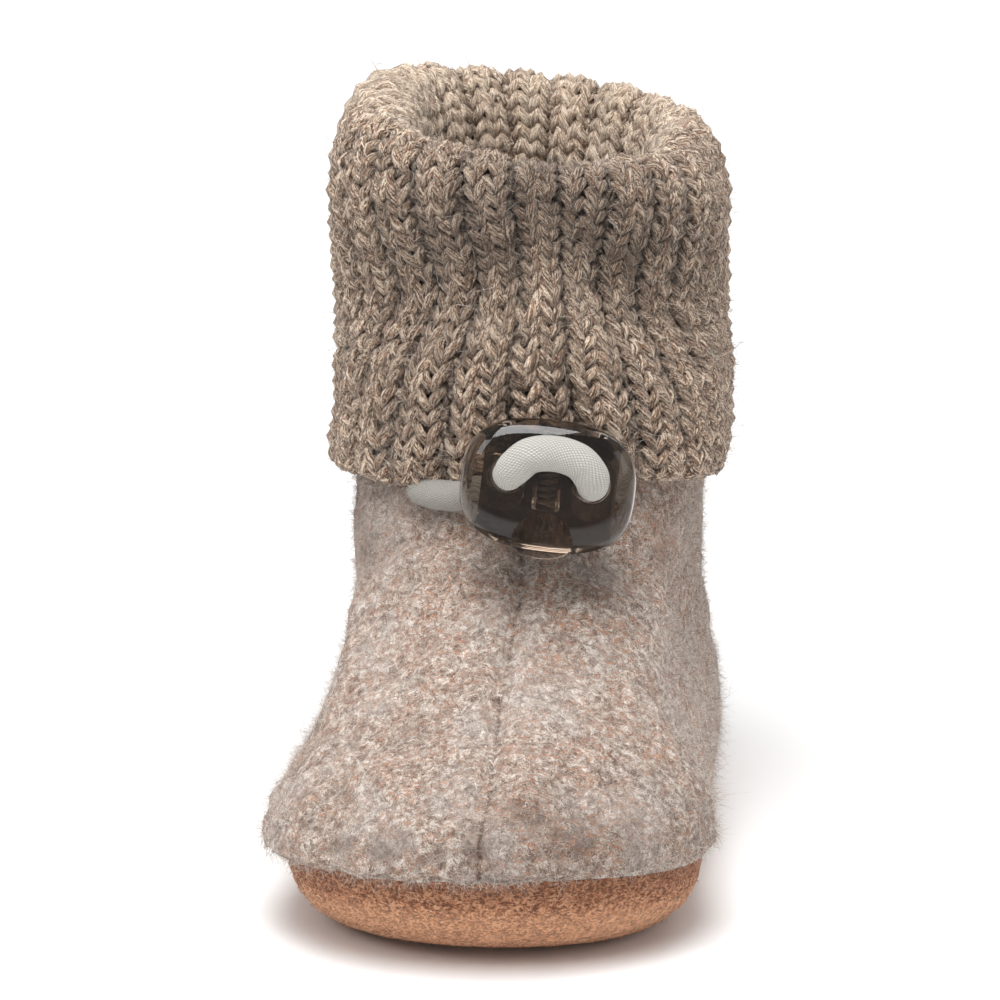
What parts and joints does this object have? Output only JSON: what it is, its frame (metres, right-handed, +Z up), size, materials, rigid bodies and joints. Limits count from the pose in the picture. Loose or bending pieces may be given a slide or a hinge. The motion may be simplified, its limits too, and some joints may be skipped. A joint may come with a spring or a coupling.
{
  "type": "bootie slipper",
  "caption": "Toddler's bootie slipper: a boiled-wool upper on a turned-up suede sole, a turned-down rib-knit cuff and an elastic drawcord held by a sprung cord stopper.",
  "frame": {"origin": "on the floor under the middle of the slipper", "axes": "+Z up, -Y along the sole towards the toe, +X to the wearer's left"},
  "size_m": [0.0658, 0.1235, 0.107],
  "materials": {
    "suede": "rough brushed suede, reddish brown",
    "footbed_felt": "plain wool felt",
    "boiled_wool": "felted wool in mixed beige and grey fibres, hairy",
    "rib_knit": "rib knit in mixed taupe wool, hairy",
    "elastic_cord": "fine braid over elastic, light grey",
    "smoke_plastic": "glossy see-through smoke brown",
    "spring_steel": "drawn wire"
  },
  "bodies": {
    "slipper": {"outsole": "suede", "insole": "footbed_felt", "upper": "boiled_wool", "cuff": "rib_knit", "drawcord": "elastic_cord", "stopper_body": "smoke_plastic", "stopper_spring": "spring_steel"},
    "plunger": {"stopper_plunger": "smoke_plastic"}
  },
  "joints": [
    {"name": "plunger_press", "type": "slide", "parent": "slipper", "child": "plunger", "axis": [0.1045, 0.2574, 0.9606], "range_m": [0, 0.0025], "stiffness_N_per_m": 400, "springref_m": -0.004, "deforming": ["stopper_spring"]}
  ]
}
